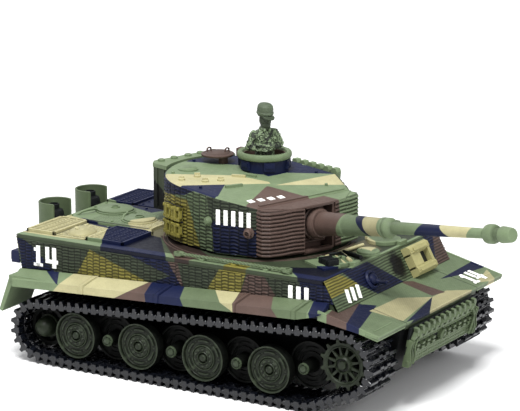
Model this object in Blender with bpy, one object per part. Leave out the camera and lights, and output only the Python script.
"""A 1:72 radio-controlled heavy tank: hull, running gear, drive, turret and gun, each piece its own solid.

Frame: +X is forward, +Y the tank's left, +Z up, and the ground is z = 0. Every number below is in
millimetres or degrees, and UNIT turns millimetres into metres where a mesh or a place is made.
"""

import math

import bmesh
import bpy
from mathutils import Matrix, Vector
from mathutils.geometry import convex_hull_2d

UNIT = 0.001
GAP = 0.3  # clearance between neighbouring pieces
ORIGIN_X = 6.33  # the middle of the whole tank's length, measured in the hull's own frame

# Hull
DECK_Z = 24.9
SPONSON_Z = 17.6
HULL_REAR_X = -44.3
HULL_HALF_WIDTH = 22.3
PLATE_TOP_X = 24.7  # driver's front plate
PLATE_FOOT = (27.9, 19.2)
GLACIS_TIP = (37.7, 17.0)
TUB_HALF_WIDTH = 14.4
TUB_TOP_Z = 17.3
BELLY_Z = 4.0
BELLY_THICK = 2.0
WALL = 1.2

# Fenders
SKIRT_Y = 25.7
SKIRT_WALL_Y = HULL_HALF_WIDTH + GAP
SKIRT_REAR = (-43.2, 18.2)  # x, and height where the skirt meets the hull wall
SKIRT_FRONT = (26.0, 21.1)
SKIRT_DROP = 2.3
SKIRT_LIP = 0.8
MUDGUARD_Y = 25.4

CABLE_Y = 21.2

# Running gear
AXLE_FIRST_X = -29.47
AXLE_PITCH = 7.254
AXLE_Z = 6.85
FRONT_AXLE_Z = 8.1
WHEEL_RADIUS = 4.5
WHEEL_STEPS = 12
AXLE_RADIUS = 0.6
BORE_RADIUS = 0.9
OUTER_WHEEL_Y = (22.0, 24.25)
INNER_WHEEL_Y = (18.9, 20.9)
INNER_HUB_Y = 24.0
IDLER = (-38.0, AXLE_Z)
IDLER_RADIUS = 3.9
IDLER_Y = (18.6, 21.4)
SPROCKET = (29.6, 10.13)
SPROCKET_RADIUS = 4.35
SPROCKET_TEETH = 12
TRACK_Y = (15.3, 24.9)
TRACK_THICK = 2.0
TRACK_IDLER_RADIUS = 6.35
TRACK_SPROCKET_RADIUS = 7.0

# Drive
SHAFT_RADIUS = 0.7
DRIVE_GEAR_TEETH = 19
DRIVE_GEAR_RADIUS = 3.8
PINION_TEETH = 6
PINION_RADIUS = 1.2
MOTOR_RADIUS = 3.0
MOTOR_X = 24.4
MOTOR_Z = 9.0
GEAR_Y = (11.5, 12.8)

# Turret
TURRET_X = -2.24
TURRET_YAW = -17.9
TURRET_BASE_Z = DECK_Z + GAP
ROOF_Z = 36.1  # at the break above the front slope
ROOF_RISE = 0.04  # towards the tail, per millimetre
ROOF_FRONT_Z = 34.9
REAR_ARC_X = -4.7
SIDE_Y = 15.3
BREAK_X = 5.2
FRONT_X = 12.8
FRONT_HALF_WIDTH = 11.8
TURRET_WALL = 1.4
RING_RADIUS = 11.0
RING_STEPS = 28
RING_GEAR_TEETH = 24
RING_GEAR_RADIUS = 12.2
TURRET_PINION_TEETH = 6
TURRET_PINION_RADIUS = 3.0
CUPOLA = (-6.0, 6.5)
CUPOLA_RADIUS = 5.4
CUPOLA_FLOOR_Z = 37.05
CUPOLA_TOP_Z = 40.3
LID = (-15.6, 2.6)
LID_RADIUS = 3.3
LID_Z = 39.0

# Gun
TRUNNION = (8.05, 29.5)  # x and z in the turret's frame
GUN_ELEVATION = 8.3
MANTLET_X = (FRONT_X + GAP, 17.4)
SLOT_HALF_WIDTH = 3.5
BARREL_END = 52.9
MUZZLE_END = 59.8


# ---------------------------------------------------------------- tools


def clear_scene():
    for old in list(bpy.data.objects):
        bpy.data.objects.remove(old, do_unlink=True)


def empty(name, place, parent=None, turn=(0.0, 0.0, 0.0)):
    """An axis that pieces hang on; turn is in degrees."""
    axis = bpy.data.objects.new(name, None)
    axis.empty_display_size = 4 * UNIT
    axis.location = Vector(place) * UNIT
    axis.rotation_euler = [math.radians(angle) for angle in turn]
    axis.parent = parent
    bpy.context.scene.collection.objects.link(axis)
    return axis


def plastic(name, colour, roughness, metallic=0.0):
    material = bpy.data.materials.new(name)
    material.use_nodes = True
    shader = material.node_tree.nodes["Principled BSDF"]
    shader.inputs["Base Color"].default_value = (*colour, 1.0)
    shader.inputs["Roughness"].default_value = roughness
    shader.inputs["Metallic"].default_value = metallic
    return material


def solid(mesh_builder, name="tool"):
    """An object from a bmesh in millimetres, with its faces turned outwards."""
    bmesh.ops.recalc_face_normals(mesh_builder, faces=mesh_builder.faces)
    mesh = bpy.data.meshes.new(name)
    mesh_builder.to_mesh(mesh)
    mesh_builder.free()
    made = bpy.data.objects.new(name, mesh)
    bpy.context.scene.collection.objects.link(made)
    return made


def combine(base, tools, operation):
    """Joins the tools to the base solid (UNION) or cuts them from it (DIFFERENCE)."""
    for tool in tools:
        step = base.modifiers.new("combine", "BOOLEAN")
        step.operation = operation
        step.solver = "EXACT"
        step.object = tool
        graph = bpy.context.evaluated_depsgraph_get()
        mesh = bpy.data.meshes.new_from_object(base.evaluated_get(graph))
        base.modifiers.clear()
        spent = base.data
        base.data = mesh
        bpy.data.meshes.remove(spent)
        bpy.data.objects.remove(tool, do_unlink=True)
    return base


def finish(made, name, material, parent, place=(0.0, 0.0, 0.0), smooth=None):
    """Names a solid, scales it to metres and hangs it on its axis. smooth is the sharp-edge angle."""
    made.name = name
    made.data.name = name
    made.data.transform(Matrix.Scale(UNIT, 4))
    if smooth is not None:
        made.data.shade_smooth()
        made.data.set_sharp_from_angle(angle=math.radians(smooth))
    made.data.materials.clear()
    made.data.materials.append(material)
    made.location = Vector(place) * UNIT
    made.parent = parent
    return made


def lifted(axis, u, v, w):
    """The point with u and v across the axis and w along it."""
    return {"X": (w, u, v), "Y": (u, w, v), "Z": (u, v, w)}[axis]


def prism(outline, low, high, axis="Z"):
    """An outline drawn across the axis and extruded along it from low to high."""
    shape = bmesh.new()
    base = shape.faces.new([shape.verts.new(lifted(axis, u, v, low)) for u, v in outline])
    made = bmesh.ops.extrude_face_region(shape, geom=[base])["geom"]
    moved = [item for item in made if isinstance(item, bmesh.types.BMVert)]
    bmesh.ops.translate(shape, verts=moved, vec=lifted(axis, 0, 0, high - low))
    return solid(shape)


def box(x, y, z):
    """A block between the (low, high) pairs x, y and z."""
    return prism([(x[0], y[0]), (x[1], y[0]), (x[1], y[1]), (x[0], y[1])], z[0], z[1])


def loft(rear, front):
    """A solid between two closed sections with the same number of corners."""
    shape = bmesh.new()
    first = [shape.verts.new(point) for point in rear]
    second = [shape.verts.new(point) for point in front]
    shape.faces.new(first)
    shape.faces.new(second)
    count = len(first)
    for i in range(count):
        j = (i + 1) % count
        shape.faces.new((first[i], first[j], second[j], second[i]))
    return solid(shape)


def turned(profile, steps, axis="Y", centre=(0.0, 0.0, 0.0)):
    """A profile of (radius, height) points turned about the axis. One that starts and ends at
    radius 0 makes a full solid, and any other is closed on itself into a ring."""
    shape = bmesh.new()
    points = [shape.verts.new((radius, 0, height)) for radius, height in profile]
    pairs = list(zip(points, points[1:]))
    if profile[0][0] > 0:
        pairs.append((points[-1], points[0]))
    edges = [shape.edges.new(pair) for pair in pairs]
    bmesh.ops.spin(
        shape,
        geom=points + edges,
        cent=(0, 0, 0),
        axis=(0, 0, 1),
        angle=math.tau,
        steps=steps,
        use_merge=True,
    )
    bmesh.ops.remove_doubles(shape, verts=shape.verts, dist=1e-4)
    bmesh.ops.dissolve_degenerate(shape, edges=shape.edges, dist=1e-4)
    turn = {
        "Z": Matrix.Identity(4),
        "Y": Matrix.Rotation(math.radians(-90), 4, "X"),
        "X": Matrix.Rotation(math.radians(90), 4, "Y"),
    }[axis]
    bmesh.ops.transform(shape, matrix=Matrix.Translation(centre) @ turn, verts=shape.verts)
    return solid(shape)


def rod(axis, radius, low, high, steps=16, centre=(0.0, 0.0, 0.0)):
    return turned([(0, low), (radius, low), (radius, high), (0, high)], steps, axis, centre)


def arc(centre, radius, start, end, steps):
    """Points along an arc, angles in degrees."""
    angles = [math.radians(start + (end - start) * i / steps) for i in range(steps + 1)]
    return [(centre[0] + radius * math.cos(a), centre[1] + radius * math.sin(a)) for a in angles]


def gear_outline(radius, depth, teeth):
    """Trapezoid teeth: two corners at the root and two at the tip of each."""
    outline = []
    pitch = math.tau / teeth
    for tooth in range(teeth):
        for share, reach in ((0.0, radius - depth), (0.3, radius - depth), (0.45, radius), (0.85, radius)):
            angle = (tooth + share) * pitch
            outline.append((reach * math.cos(angle), reach * math.sin(angle)))
    return outline


def side_span(side, near, far):
    """The low and high y of a piece that lies between near and far on one side of the tank."""
    return tuple(sorted((side * near, side * far)))


# ---------------------------------------------------------------- hull


def axle_place(index):
    """The x and z of road wheel axle index, 0 at the rear to 7 at the front."""
    height = FRONT_AXLE_Z if index == 7 else AXLE_Z
    return AXLE_FIRST_X + index * AXLE_PITCH, height


def lower_hull(root, green):
    outline = [
        (-41.2, BELLY_Z),
        (30.5, BELLY_Z),
        (34.9, 7.4),
        (36.6, 15.4),
        (29.2, TUB_TOP_Z),
        (-42.7, TUB_TOP_Z),
    ]
    tub = prism(outline, -TUB_HALF_WIDTH, TUB_HALF_WIDTH, "Y")
    floor = BELLY_Z + BELLY_THICK
    inside = [
        (-39.9, floor),
        (30.2, floor),
        (33.7, 8.2),
        (35.3, 14.6),
        (35.3, TUB_TOP_Z + 4),
        (-41.3, TUB_TOP_Z + 4),
    ]
    half = TUB_HALF_WIDTH - WALL
    combine(tub, [prism(inside, -half, half, "Y")], "DIFFERENCE")
    recess = box((-30.5, -1.5), (-9.3, 9.3), (BELLY_Z - 1, BELLY_Z + 1.2))
    opening = box((-26.5, -5.5), (-7.5, 7.5), (BELLY_Z - 1, floor + 1))
    screw_holes = [rod("Z", 0.8, BELLY_Z - 1, floor + 1, 12, (x, 0, 0)) for x in (-28.4, -3.6)]
    switch_slot = box((6.4, 11.6), (-1.1, 1.1), (BELLY_Z - 1, floor + 1))
    socket_hole = rod("Z", 1.9, BELLY_Z - 1, floor + 1, 16, (16.0, 0, 0))
    combine(tub, [recess, opening, *screw_holes, switch_slot, socket_hole], "DIFFERENCE")
    stubs = []
    bores = []
    for side in (-1, 1):
        for index in range(8):
            x, z = axle_place(index)
            reach = OUTER_WHEEL_Y[1] - 0.9 if index % 2 == 0 else INNER_HUB_Y - 0.9
            span = side_span(side, TUB_HALF_WIDTH - 0.5, reach)
            stubs.append(rod("Y", AXLE_RADIUS, *span, 10, (x, 0, z)))
        span = side_span(side, TUB_HALF_WIDTH - 0.5, INNER_HUB_Y - 0.9)
        stubs.append(rod("Y", AXLE_RADIUS, *span, 10, (IDLER[0], 0, IDLER[1])))
        span = side_span(side, TUB_HALF_WIDTH - 3, TUB_HALF_WIDTH + 1)
        bores.append(rod("Y", SHAFT_RADIUS + GAP, *span, 14, (SPROCKET[0], 0, SPROCKET[1])))
    combine(tub, stubs, "UNION")
    combine(tub, bores, "DIFFERENCE")
    finish(tub, "lower_hull", green, root)


def upper_hull(root, green):
    body = [
        (-42.9, SPONSON_Z),
        (HULL_REAR_X, DECK_Z),
        (PLATE_TOP_X, DECK_Z),
        PLATE_FOOT,
        (PLATE_FOOT[0], SPONSON_Z),
    ]
    shell = prism(body, -HULL_HALF_WIDTH, HULL_HALF_WIDTH, "Y")
    glacis = [
        (27.0, SPONSON_Z),
        (27.0, 19.4),
        GLACIS_TIP,
        (GLACIS_TIP[0] - 0.3, GLACIS_TIP[1] - 1.3),
        (29.4, SPONSON_Z),
    ]
    half = TUB_HALF_WIDTH
    combine(shell, [prism(glacis, -half, half, "Y")], "UNION")
    inside = [
        (-41.6, SPONSON_Z + WALL),
        (-43.0, DECK_Z - WALL),
        (PLATE_TOP_X - 1.0, DECK_Z - WALL),
        (26.0, SPONSON_Z + WALL),
    ]
    half = HULL_HALF_WIDTH - WALL
    cavity = prism(inside, -half, half, "Y")
    half = TUB_HALF_WIDTH - WALL
    well = box((-41.4, 26.0), (-half, half), (SPONSON_Z - 2, SPONSON_Z + 2))
    turret_hole = rod("Z", RING_RADIUS + GAP, DECK_Z - 3, DECK_Z + 2, RING_STEPS, (TURRET_X, 0, 0))
    combine(shell, [cavity, well, turret_hole], "DIFFERENCE")
    hatches = [rod("Z", 3.0, DECK_Z - 0.5, DECK_Z + 0.6, 20, (20.2, y, 0)) for y in (-9.3, 9.3)]
    engine_plate = box((-37.5, -23.2), (-7.5, 7.5), (DECK_Z - 0.5, DECK_Z + 0.5))
    grilles = [
        box((-42.5, -22.5), side_span(side, 9.2, 19.5), (DECK_Z - 0.5, DECK_Z + 0.3)) for side in (-1, 1)
    ]
    combine(shell, [*hatches, engine_plate, *grilles], "UNION")
    finish(shell, "upper_hull", green, root)


def fender(root, side, name, green):
    """The skirt along one side, its front mudguard and its rear flap, in one moulding."""

    def section(x, joint_z, drop):
        low = joint_z - drop
        corners = [
            (SKIRT_WALL_Y, joint_z),
            (SKIRT_Y, low + SKIRT_LIP - 0.1),
            (SKIRT_Y, low - SKIRT_LIP + 0.1),
            (SKIRT_Y - 0.5, low - SKIRT_LIP + 0.1),
            (SKIRT_Y - 0.5, low + 0.2),
            (SKIRT_WALL_Y, joint_z - 0.9),
        ]
        return [(x, side * y, z) for y, z in corners]

    skirt = loft(section(*SKIRT_REAR, SKIRT_DROP), section(*SKIRT_FRONT, SKIRT_DROP))
    top = [(25.2, 19.9), (33.6, 17.95), (GLACIS_TIP[0] + 0.1, 16.9)]
    bottom = [(x - 0.2, z - 0.9) for x, z in reversed(top)]
    span = side_span(side, TUB_HALF_WIDTH + GAP, MUDGUARD_Y)
    mudguard = prism(top + bottom, *span, "Y")
    lip = prism(
        [(25.2, 20.4), (35.4, 17.9), (35.4, 17.1), (25.2, 18.6)],
        *side_span(side, MUDGUARD_Y - 0.6, MUDGUARD_Y),
        "Y",
    )
    combine(mudguard, [box((24.0, 29.0), side_span(side, 14.0, 22.7), (15.0, 22.0))], "DIFFERENCE")
    span = side_span(side, TRACK_Y[0], SKIRT_Y - 0.4)
    shelf = box((-44.2, -36.0), span, (16.1, SPONSON_Z - GAP))
    span = side_span(side, TRACK_Y[0], TRACK_Y[1])
    flap = prism([(-43.1, 16.9), (-44.3, 16.9), (-46.9, 9.9), (-46.1, 9.5)], *span, "Y")
    combine(skirt, [mudguard, lip, shelf, flap], "UNION")
    finish(skirt, name, green, root)


def nose_track_rack(root, dark_green):
    """Spare track links carried across the nose, on their bracket, with a tow eye at each end."""
    plate = prism(
        [(36.85, 14.9), (37.9, 15.2), (36.4, 7.6), (35.4, 7.9)], -TUB_HALF_WIDTH + 0.9, TUB_HALF_WIDTH - 0.9, "Y"
    )
    links = []
    for index in range(12):
        y = -11.55 + index * 2.1
        links.append(
            prism([(37.0, 13.4), (38.4, 15.4), (38.4, 13.6), (37.6, 11.6)], y - 0.7, y + 0.7, "Y")
        )
    eyes = [
        prism([(36.0, 7.8), (37.6, 13.4), (38.5, 13.2), (37.0, 6.8)], *side_span(side, 12.2, 13.2), "Y")
        for side in (-1, 1)
    ]
    combine(plate, links + eyes, "UNION")
    finish(plate, "nose_track_rack", dark_green, root)


def on_front_plate(share, stand_off):
    """A point on the driver's plate: share 0 is its top edge and 1 its foot."""
    dx = PLATE_FOOT[0] - PLATE_TOP_X
    dz = PLATE_FOOT[1] - DECK_Z
    length = math.hypot(dx, dz)
    return (
        PLATE_TOP_X + dx * share - dz / length * stand_off,
        DECK_Z + dz * share + dx / length * stand_off,
    )


def driver_visor(root, yellow):
    outline = [
        on_front_plate(0.12, GAP),
        on_front_plate(0.12, 1.2),
        on_front_plate(0.42, 2.1),
        on_front_plate(0.72, 2.1),
        on_front_plate(0.98, 1.5),
        on_front_plate(0.98, GAP),
    ]
    visor = prism(outline, 6.6, 14.2, "Y")
    slit = prism(
        [on_front_plate(0.40, 1.4), on_front_plate(0.40, 4.0), on_front_plate(0.52, 4.0), on_front_plate(0.52, 1.4)],
        8.0,
        12.8,
        "Y",
    )
    combine(visor, [slit], "DIFFERENCE")
    finish(visor, "driver_visor", yellow, root)


def hull_machine_gun(root, navy):
    """A ball mount square to the plate, with its barrel level."""
    x, z = on_front_plate(0.52, GAP)
    tilt = math.atan2(PLATE_FOOT[0] - PLATE_TOP_X, DECK_Z - PLATE_FOOT[1])
    ball = turned([(0, 0), (2.1, 0), (1.9, 0.6), (1.2, 1.3), (0, 1.6)], 16, "X")
    ball.data.transform(Matrix.Rotation(-tilt, 4, "Y"))
    barrel = rod("X", 0.45, 0.6, 4.2, 10, (0, 0, 0.3))
    combine(ball, [barrel], "UNION")
    ball.data.transform(Matrix.Translation((x, -7.4, z)))
    finish(ball, "hull_machine_gun", navy, root, smooth=40)


def exhaust(root, side, name, green):
    """An upright silencer inside a curved shield that is open towards the hull."""
    centre = (-46.0, side * 6.4)
    ends = 64
    outer = arc(centre, 3.5, ends, 360 - ends, 20)
    inner = arc(centre, 2.9, 360 - ends, ends, 20)
    shield = prism(outer + inner, 18.5, 28.2)
    silencer = turned([(0, 18.9), (2.0, 18.9), (2.0, 26.0), (1.2, 26.8), (0.9, 27.6), (0, 27.6)], 14, "Z")
    silencer.data.transform(Matrix.Translation((centre[0] - 0.5, centre[1], 0)))
    bracket = box((centre[0] - 3.2, centre[0] + 1.0), (centre[1] - 0.5, centre[1] + 0.5), (19.5, 20.5))
    combine(shield, [silencer, bracket], "UNION")
    finish(shield, name, green, root, smooth=35)


def tow_cable(root, side, name, steel):
    """A wire rope along the deck's edge with an eye at each end."""
    height = DECK_Z + GAP + 0.45
    rope = rod("X", 0.4, -6.6, 15.6, 8, (0, side * CABLE_Y, height))
    eyes = [
        turned([(0.5, -0.3), (1.0, -0.3), (1.0, 0.3), (0.5, 0.3)], 14, "Z", (x, side * CABLE_Y, height))
        for x in (-7.3, 16.3)
    ]
    combine(rope, eyes, "UNION")
    finish(rope, name, steel, root, smooth=40)


# ---------------------------------------------------------------- running gear


def track_outline(inset):
    """The taut loop round idler, road wheels and sprocket, inset from its outer surface."""
    rounds = [(IDLER, TRACK_IDLER_RADIUS), (SPROCKET, TRACK_SPROCKET_RADIUS)]
    rounds += [(axle_place(index), AXLE_Z) for index in range(8)]
    points = []
    for centre, radius in rounds:
        points += arc(centre, radius - inset, 0, 351, 39)
    return [points[i] for i in convex_hull_2d([Vector(point) for point in points])]


def track(root, side, name, black):
    low, high = side_span(side, *TRACK_Y)
    band = prism(track_outline(0.0), low, high, "Y")
    combine(band, [prism(track_outline(TRACK_THICK), low - 1, high + 1, "Y")], "DIFFERENCE")
    finish(band, name, black, root, smooth=25)


def axis_at(name, root, x, z, side):
    """The empty on an axle, in the middle of the track's width."""
    return empty(name, (x, side * (TRACK_Y[0] + TRACK_Y[1]) / 2, z), root)


def wheel_profile(rim, hub_end, radius, bore_end):
    """A dished wheel with a blind bore, as (radius, distance from the hull's centre line)."""
    low, high = rim
    return [
        (0, hub_end),
        (0.8, hub_end),
        (1.3, hub_end - 0.5),
        (1.3, low + 0.9),
        (radius - 1.2, low + 0.7),
        (radius - 0.9, high),
        (radius, high),
        (radius, low),
        (BORE_RADIUS, low),
        (BORE_RADIUS, bore_end),
        (0, bore_end),
    ]


def centred(profile, side):
    """A profile moved so that its origin is on the axle's empty, and mirrored to the tank's side."""
    middle = (TRACK_Y[0] + TRACK_Y[1]) / 2
    return [(radius, side * (distance - middle)) for radius, distance in profile]


def road_wheel(root, index, side, name, green):
    x, z = axle_place(index)
    axis = axis_at(name + "_axis", root, x, z, side)
    if index % 2 == 0:
        profile = wheel_profile(OUTER_WHEEL_Y, OUTER_WHEEL_Y[1] + 0.3, WHEEL_RADIUS, OUTER_WHEEL_Y[1] - 0.6)
    else:
        profile = wheel_profile(INNER_WHEEL_Y, INNER_HUB_Y, WHEEL_RADIUS, INNER_HUB_Y - 0.6)
    finish(turned(centred(profile, side), WHEEL_STEPS, "Y"), name, green, axis, smooth=40)


def idler(root, side, name, green):
    axis = axis_at(name + "_axis", root, *IDLER, side)
    low, high = IDLER_Y
    profile = [
        (0, INNER_HUB_Y),
        (1.0, INNER_HUB_Y - 0.25),
        (1.8, INNER_HUB_Y - 1.0),
        (2.0, INNER_HUB_Y - 2.0),
        (2.0, low + 1.6),
        (IDLER_RADIUS - 1.0, low + 1.2),
        (IDLER_RADIUS - 0.8, high),
        (IDLER_RADIUS, high),
        (IDLER_RADIUS, low),
        (BORE_RADIUS, low),
        (BORE_RADIUS, INNER_HUB_Y - 0.6),
        (0, INNER_HUB_Y - 0.6),
    ]
    finish(turned(centred(profile, side), WHEEL_STEPS, "Y"), name, green, axis, smooth=40)


def sprocket(root, side, name, green):
    """Two toothed rings on a drum, with the shaft that runs through the hull side."""
    axis = axis_at(name + "_axis", root, *SPROCKET, side)
    middle = (TRACK_Y[0] + TRACK_Y[1]) / 2
    outline = gear_outline(SPROCKET_RADIUS, 0.8, SPROCKET_TEETH)
    rings = []
    for near, far in ((16.3, 17.5), (22.6, 23.8)):
        rings.append(prism(outline, *side_span(side, near - middle, far - middle), "Y"))
    drum = turned(
        centred([(0, 15.9), (2.6, 15.9), (2.6, 23.2), (1.4, 24.2), (0, 24.2)], side), 18, "Y"
    )
    shaft = rod("Y", SHAFT_RADIUS, *side_span(side, 10.6 - middle, 16.5 - middle), 12)
    combine(drum, [*rings, shaft], "UNION")
    finish(drum, name, green, axis, smooth=40)
    return axis


def drive_gear(axis, side, name, white):
    middle = (TRACK_Y[0] + TRACK_Y[1]) / 2
    low, high = side_span(side, GEAR_Y[0] - middle, GEAR_Y[1] - middle)
    gear = prism(gear_outline(DRIVE_GEAR_RADIUS, 0.5, DRIVE_GEAR_TEETH), low, high, "Y")
    combine(gear, [rod("Y", SHAFT_RADIUS + 0.05, low - 1, high + 1, 12)], "DIFFERENCE")
    finish(gear, name, white, axis)


def drive_motor(root, side, name, steel):
    span = side_span(side, 1.4, 11.1)
    can = rod("Y", MOTOR_RADIUS, *span, 20, (MOTOR_X, 0, MOTOR_Z))
    flats = [
        box((MOTOR_X - 4, MOTOR_X + 4), (span[0] - 1, span[1] + 1), (MOTOR_Z + 2.4, MOTOR_Z + 5)),
        box((MOTOR_X - 4, MOTOR_X + 4), (span[0] - 1, span[1] + 1), (MOTOR_Z - 5, MOTOR_Z - 2.4)),
    ]
    combine(can, flats, "DIFFERENCE")
    finish(can, name, steel, root, smooth=30)


def motor_pinion(root, side, name, brass):
    middle = sum(GEAR_Y) / 2
    axis = empty(name + "_axis", (MOTOR_X, side * middle, MOTOR_Z), root)
    half = (GEAR_Y[1] - GEAR_Y[0]) / 2
    pinion = prism(gear_outline(PINION_RADIUS, 0.35, PINION_TEETH), -half, half, "Y")
    finish(pinion, name, brass, axis)


# ---------------------------------------------------------------- inside the hull


def battery(root, blue):
    cell = box((-27.0, -3.0), (-7.0, 7.0), (7.0, 13.5))
    bevel = cell.modifiers.new("edges", "BEVEL")
    bevel.width = 0.8 * UNIT
    bevel.segments = 2
    finish(cell, "battery", blue, root)


def circuit_board(root, board_green):
    board = box((-38.0, 8.4), (-11.5, 11.5), (15.0, 16.2))
    chips = [
        box((-34.0, -28.0), (-3.0, 3.0), (16.0, 17.4)),
        box((-22.0, -16.0), (3.0, 9.0), (16.0, 17.2)),
        box((-10.0, -7.0), (-8.0, -2.0), (16.0, 18.0)),
    ]
    combine(board, chips, "UNION")
    finish(board, "circuit_board", board_green, root)


def battery_door(root, green):
    door = box((-30.2, -1.8), (-9.0, 9.0), (BELLY_Z, BELLY_Z + 0.9))
    cuts = []
    for x in (-28.4, -3.6):
        cuts.append(rod("Z", 0.8, BELLY_Z - 1, BELLY_Z + 2, 12, (x, 0, 0)))
        cuts.append(rod("Z", 1.3, BELLY_Z - 1, BELLY_Z + 0.55, 14, (x, 0, 0)))
    combine(door, cuts, "DIFFERENCE")
    finish(door, "battery_door", green, root)


def door_screw(root, x, name, steel):
    screw = turned(
        [(0, BELLY_Z + 0.02), (1.0, BELLY_Z + 0.02), (1.0, BELLY_Z + 0.25), (0.5, BELLY_Z + 0.35), (0.5, 5.9), (0, 5.9)],
        14,
        "Z",
        (x, 0, 0),
    )
    finish(screw, name, steel, root, smooth=30)


def power_switch(root, black):
    axis = empty("power_switch_axis", (7.9, 0, BELLY_Z), root)
    knob = box((-1.2, 1.2), (-0.8, 0.8), (-0.6, 3.0))
    flange = box((-2.8, 2.8), (-1.9, 1.9), (2.3, 2.9))
    combine(knob, [flange], "UNION")
    finish(knob, "power_switch", black, axis)


def charge_socket(root, black):
    low, high = BELLY_Z + 0.1, 9.0
    ring = turned([(0.8, low), (1.6, low), (1.6, high), (0.8, high)], 16, "Z", (16.0, 0, 0))
    finish(ring, "charge_socket", black, root, smooth=30)


def turret_motor(root, steel):
    x = TURRET_X + RING_GEAR_RADIUS + TURRET_PINION_RADIUS + GAP
    can = turned([(0, 10.2), (2.6, 10.2), (2.6, 21.2), (0.9, 21.2), (0.9, 21.9), (0, 21.9)], 18, "Z", (x, 0, 0))
    finish(can, "turret_motor", steel, root, smooth=30)


def turret_pinion(root, brass):
    x = TURRET_X + RING_GEAR_RADIUS + TURRET_PINION_RADIUS + GAP
    axis = empty("turret_pinion_axis", (x, 0, 22.9), root)
    pinion = prism(gear_outline(TURRET_PINION_RADIUS, 0.6, TURRET_PINION_TEETH), -0.6, 0.6)
    finish(pinion, "turret_pinion", brass, axis)


# ---------------------------------------------------------------- turret


def turret_outline(inset):
    """The horseshoe seen from above, counter-clockwise from the front right corner."""
    arc_points = arc((REAR_ARC_X, 0), SIDE_Y - inset, -90, -270, 22)
    right = [(FRONT_X - inset, -FRONT_HALF_WIDTH + inset), (BREAK_X, -SIDE_Y + inset)]
    left = [(x, -y) for x, y in reversed(right)]
    return right + arc_points + left


def turret_shell(turret, green):
    """The horseshoe wall under a roof whose front slopes down to the mantlet."""
    outline = turret_outline(0.0)
    shape = bmesh.new()
    floor = [shape.verts.new((x, y, TURRET_BASE_Z)) for x, y in outline]
    roof = []
    for x, y in outline:
        height = ROOF_FRONT_Z if x > BREAK_X + 0.1 else ROOF_Z + ROOF_RISE * (BREAK_X - x)
        roof.append(shape.verts.new((x, y, height)))
    count = len(outline)
    shape.faces.new(floor)
    shape.faces.new(roof[1:-1])
    shape.faces.new((roof[0], roof[1], roof[-2], roof[-1]))
    for i in range(count):
        j = (i + 1) % count
        shape.faces.new((floor[i], floor[j], roof[j], roof[i]))
    shell = solid(shape)
    inside = prism(turret_outline(TURRET_WALL), TURRET_BASE_Z - 2, ROOF_FRONT_Z - 1.3)
    gun_port = box((FRONT_X - 4, FRONT_X + 3), (-SLOT_HALF_WIDTH, SLOT_HALF_WIDTH), (TURRET_BASE_Z + 0.8, 33.2))
    combine(shell, [inside, gun_port], "DIFFERENCE")
    finish(shell, "turret_shell", green, turret, smooth=25)


def turret_ring(turret, black):
    """The neck through the deck, with the ring gear below it and a floor flange above it."""
    neck = turned(
        [
            (RING_RADIUS - 1.6, 22.3),
            (RING_RADIUS, 22.3),
            (RING_RADIUS, TURRET_BASE_Z),
            (SIDE_Y - TURRET_WALL - 0.6, TURRET_BASE_Z),
            (SIDE_Y - TURRET_WALL - 0.6, TURRET_BASE_Z + 0.7),
            (RING_RADIUS - 1.6, TURRET_BASE_Z + 0.7),
        ],
        RING_STEPS,
        "Z",
    )
    gear = prism(gear_outline(RING_GEAR_RADIUS, 0.6, RING_GEAR_TEETH), 22.3, 23.4)
    combine(gear, [rod("Z", RING_RADIUS - 1.6, 21, 25, RING_STEPS)], "DIFFERENCE")
    trim = box((FRONT_X - TURRET_WALL - 0.4, FRONT_X + 9), (-20, 20), (TURRET_BASE_Z - 0.1, 28))
    combine(neck, [trim], "DIFFERENCE")
    combine(neck, [gear], "UNION")
    finish(neck, "turret_ring", black, turret, smooth=25)


def stowage_bin(turret, green):
    """The locker on the turret's tail, whose front follows the wall's curve."""
    outline = [(-23.2, -7.4), (-21.8, -8.8), (-12.0, -8.8), (-12.0, 8.8), (-21.8, 8.8), (-23.2, 7.4)]
    locker = prism(outline, 28.2, 37.4)
    wall = prism(
        arc((REAR_ARC_X, 0), SIDE_Y + GAP, 90, 270, 30) + [(4.0, -SIDE_Y - GAP), (4.0, SIDE_Y + GAP)], 20, 45
    )
    combine(locker, [wall], "DIFFERENCE")
    finish(locker, "stowage_bin", green, turret)


def spare_links_right(turret, yellow):
    """Two pairs of spare links hung on the turret's right side."""
    start, end = 246.0, 271.0
    outer = arc((REAR_ARC_X, 0), SIDE_Y + GAP + 1.0, start, end, 5)
    inner = arc((REAR_ARC_X, 0), SIDE_Y + GAP, end, start, 5)
    holder = prism(outer + inner, 26.0, 32.8)
    gaps = []
    for low in (27.4, 30.4):
        outer = arc((REAR_ARC_X, 0), SIDE_Y + 3, start + 8, end - 8, 3)
        inner = arc((REAR_ARC_X, 0), SIDE_Y - 1, end - 8, start + 8, 3)
        gaps.append(prism(outer + inner, low, low + 1.1))
    combine(holder, gaps, "DIFFERENCE")
    finish(holder, "spare_links_right", yellow, turret)


def spare_links_left(turret, green):
    """A row of spare links standing just proud of the roof's left edge."""
    rail = box((-8.6, 4.6), (SIDE_Y + GAP, SIDE_Y + GAP + 0.8), (32.6, 35.2))
    links = []
    for index in range(5):
        x = -8.4 + index * 2.7
        links.append(box((x, x + 1.8), (SIDE_Y + GAP + 0.4, SIDE_Y + GAP + 1.8), (32.0, 36.9)))
    combine(rail, links, "UNION")
    finish(rail, "spare_links_left", green, turret)


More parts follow.
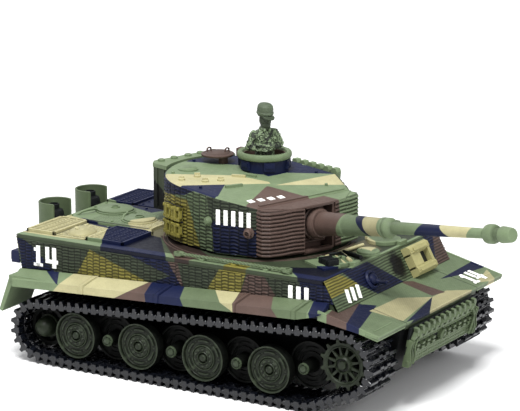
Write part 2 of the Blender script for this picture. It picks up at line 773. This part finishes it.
def cupola(turret, green):
    """The commander's ring on the roof, open at the top."""
    floor = CUPOLA_FLOOR_Z
    ring = turned(
        [
            (0, floor),
            (CUPOLA_RADIUS - 0.6, floor),
            (CUPOLA_RADIUS - 0.5, CUPOLA_TOP_Z - 0.9),
            (CUPOLA_RADIUS, CUPOLA_TOP_Z - 0.8),
            (CUPOLA_RADIUS, CUPOLA_TOP_Z - 0.1),
            (CUPOLA_RADIUS - 0.8, CUPOLA_TOP_Z),
            (CUPOLA_RADIUS - 1.2, floor + 0.8),
            (0, floor + 0.8),
        ],
        28,
        "Z",
        (*CUPOLA, 0),
    )
    finish(ring, "cupola", green, turret, smooth=35)


def cupola_lid(turret, brown):
    """The cupola's lid, swung clear behind it on its arm."""
    x, y = LID
    height = LID_Z
    lid = turned(
        [(0, height - 0.5), (LID_RADIUS, height - 0.5), (LID_RADIUS, height), (LID_RADIUS - 1, height + 0.4), (0, height + 0.5)],
        24,
        "Z",
        (x, y, 0),
    )
    post = box((x + 1.0, x + 2.4), (y - 0.7, y + 0.7), (ROOF_Z + ROOF_RISE * (BREAK_X - x) + GAP, height - 0.3))
    grips = [
        turned([(0, 0), (0.45, 0.1), (0.45, 0.9), (0, 1.1)], 10, "Z", (x + dx, y + dy, height + 0.2))
        for dx, dy in ((-1.6, -0.9), (1.1, 1.5))
    ]
    combine(lid, [post, *grips], "UNION")
    finish(lid, "cupola_lid", brown, turret, smooth=35)


def commander_figure(turret, cloth):
    """A half figure with folded arms and a peaked cap, standing in the cupola."""
    x, y = CUPOLA
    base = CUPOLA_FLOOR_Z + 0.8 + GAP
    waist = turned([(0, base), (2.2, base), (2.1, 40.2), (2.4, 43.0), (1.6, 44.6), (0, 45.0)], 14, "Z")
    waist.data.transform(Matrix.Diagonal((0.78, 1.05, 1, 1)))
    head = turned([(0, 44.4), (0.8, 44.7), (1.3, 45.8), (1.35, 47.0), (1.2, 48.0), (0, 48.3)], 14, "Z")
    cap = turned([(0, 47.3), (1.6, 47.4), (1.6, 48.6), (1.2, 49.5), (0, 49.8)], 14, "Z")
    peak = box((0.4, 2.2), (-1.0, 1.0), (47.4, 47.9))
    arms = []
    for side in (-1, 1):
        arms.append(rod("Z", 0.95, 40.9, 44.3, 10, (0.1, side * 2.7, 0)))
    forearms = rod("Y", 0.85, -3.0, 3.0, 10, (1.6, 0, 41.2))
    combine(waist, [head, cap, peak, *arms, forearms], "UNION")
    waist.data.transform(Matrix.Translation((x, y, 0)))
    finish(waist, "commander_figure", cloth, turret, smooth=45)


# ---------------------------------------------------------------- gun


def mantlet(turret, brown):
    """The ridged shield across the turret's front, slotted for the gun."""
    back, front = MANTLET_X
    half = FRONT_HALF_WIDTH + 0.2
    right = [(back, -half), (back + 1.6, -half), (back + 2.7, -half + 0.9), (front - 0.5, -6.6), (front, -3.9)]
    left = [(x, -y) for x, y in reversed(right)]
    shield = prism(right + left, 25.6, 34.7)
    slot = box((back - 1, front + 2), (-SLOT_HALF_WIDTH, SLOT_HALF_WIDTH), (26.1, 34.1))
    combine(shield, [slot], "DIFFERENCE")
    finish(shield, "mantlet", brown, turret)


def gun_mount(gun, brown):
    """The drum on the trunnions, with the collar that the barrel screws into."""
    drum = rod("Y", 2.9, -3.1, 3.1, 22)
    collar = turned([(0, -1), (2.5, -1), (2.5, 7.4), (2.8, 7.8), (2.8, 9.2), (2.6, 10.2), (0, 10.2)], 22, "X")
    combine(drum, [collar], "UNION")
    finish(drum, "gun_mount", brown, gun, smooth=35)


def gun_barrel(gun, brown):
    start = 10.2 + GAP
    profile = [
        (0, start),
        (2.4, start),
        (2.2, 17.2),
        (2.05, 17.4),
        (1.7, 27.0),
        (1.85, 27.2),
        (1.85, 28.2),
        (1.6, 29.4),
        (1.2, 29.8),
        (0.95, BARREL_END),
        (0, BARREL_END),
    ]
    finish(turned(profile, 20, "X"), "gun_barrel", brown, gun, smooth=30)


def muzzle_brake(gun, green):
    start = BARREL_END + GAP
    profile = [
        (0, start),
        (1.2, start),
        (1.75, start + 0.6),
        (1.75, start + 2.3),
        (1.25, start + 2.8),
        (1.25, start + 3.6),
        (1.5, start + 4.2),
        (1.3, MUZZLE_END),
        (0.8, MUZZLE_END),
        (0.8, MUZZLE_END - 2.0),
        (0, MUZZLE_END - 2.0),
    ]
    finish(turned(profile, 20, "X"), "muzzle_brake", green, gun, smooth=35)


# ---------------------------------------------------------------- assembly


def build():
    clear_scene()
    green = plastic("painted_green", (0.26, 0.33, 0.20), 0.6)
    dark_green = plastic("dark_green", (0.12, 0.15, 0.09), 0.6)
    navy = plastic("navy", (0.02, 0.03, 0.10), 0.6)
    yellow = plastic("yellow", (0.40, 0.35, 0.09), 0.6)
    brown = plastic("brown", (0.20, 0.13, 0.10), 0.6)
    black = plastic("track_black", (0.02, 0.02, 0.025), 0.45)
    cloth = plastic("figure_green", (0.10, 0.13, 0.07), 0.7)
    steel = plastic("steel", (0.55, 0.55, 0.57), 0.35, 1.0)
    brass = plastic("brass", (0.70, 0.50, 0.20), 0.35, 1.0)
    white = plastic("white_nylon", (0.80, 0.80, 0.76), 0.5)
    blue = plastic("battery_blue", (0.05, 0.15, 0.45), 0.5)
    board_green = plastic("circuit_green", (0.02, 0.20, 0.08), 0.5)

    root = empty("tank", (-ORIGIN_X, 0, 0))
    lower_hull(root, dark_green)
    upper_hull(root, green)
    nose_track_rack(root, dark_green)
    driver_visor(root, yellow)
    hull_machine_gun(root, navy)
    battery(root, blue)
    circuit_board(root, board_green)
    battery_door(root, dark_green)
    door_screw(root, -28.4, "door_screw_rear", steel)
    door_screw(root, -3.6, "door_screw_front", steel)
    power_switch(root, black)
    charge_socket(root, black)
    turret_motor(root, steel)
    turret_pinion(root, brass)
    for side, word in ((-1, "right"), (1, "left")):
        fender(root, side, f"fender_{word}", green)
        exhaust(root, side, f"exhaust_{word}", green)
        tow_cable(root, side, f"tow_cable_{word}", steel)
        track(root, side, f"track_{word}", black)
        axis = sprocket(root, side, f"sprocket_{word}", dark_green)
        drive_gear(axis, side, f"drive_gear_{word}", white)
        drive_motor(root, side, f"drive_motor_{word}", steel)
        motor_pinion(root, side, f"motor_pinion_{word}", brass)
        idler(root, side, f"idler_{word}", dark_green)
        for index in range(8):
            road_wheel(root, index, side, f"road_wheel_{word}_{index + 1}", dark_green)

    turret = empty("turret_axis", (TURRET_X, 0, 0), root, (0, 0, TURRET_YAW))
    turret_shell(turret, green)
    turret_ring(turret, black)
    stowage_bin(turret, dark_green)
    spare_links_right(turret, yellow)
    spare_links_left(turret, green)
    cupola(turret, green)
    cupola_lid(turret, brown)
    commander_figure(turret, cloth)
    mantlet(turret, brown)

    gun = empty("gun_axis", (TRUNNION[0], 0, TRUNNION[1]), turret, (0, -GUN_ELEVATION, 0))
    gun_mount(gun, brown)
    gun_barrel(gun, brown)
    muzzle_brake(gun, green)


build()
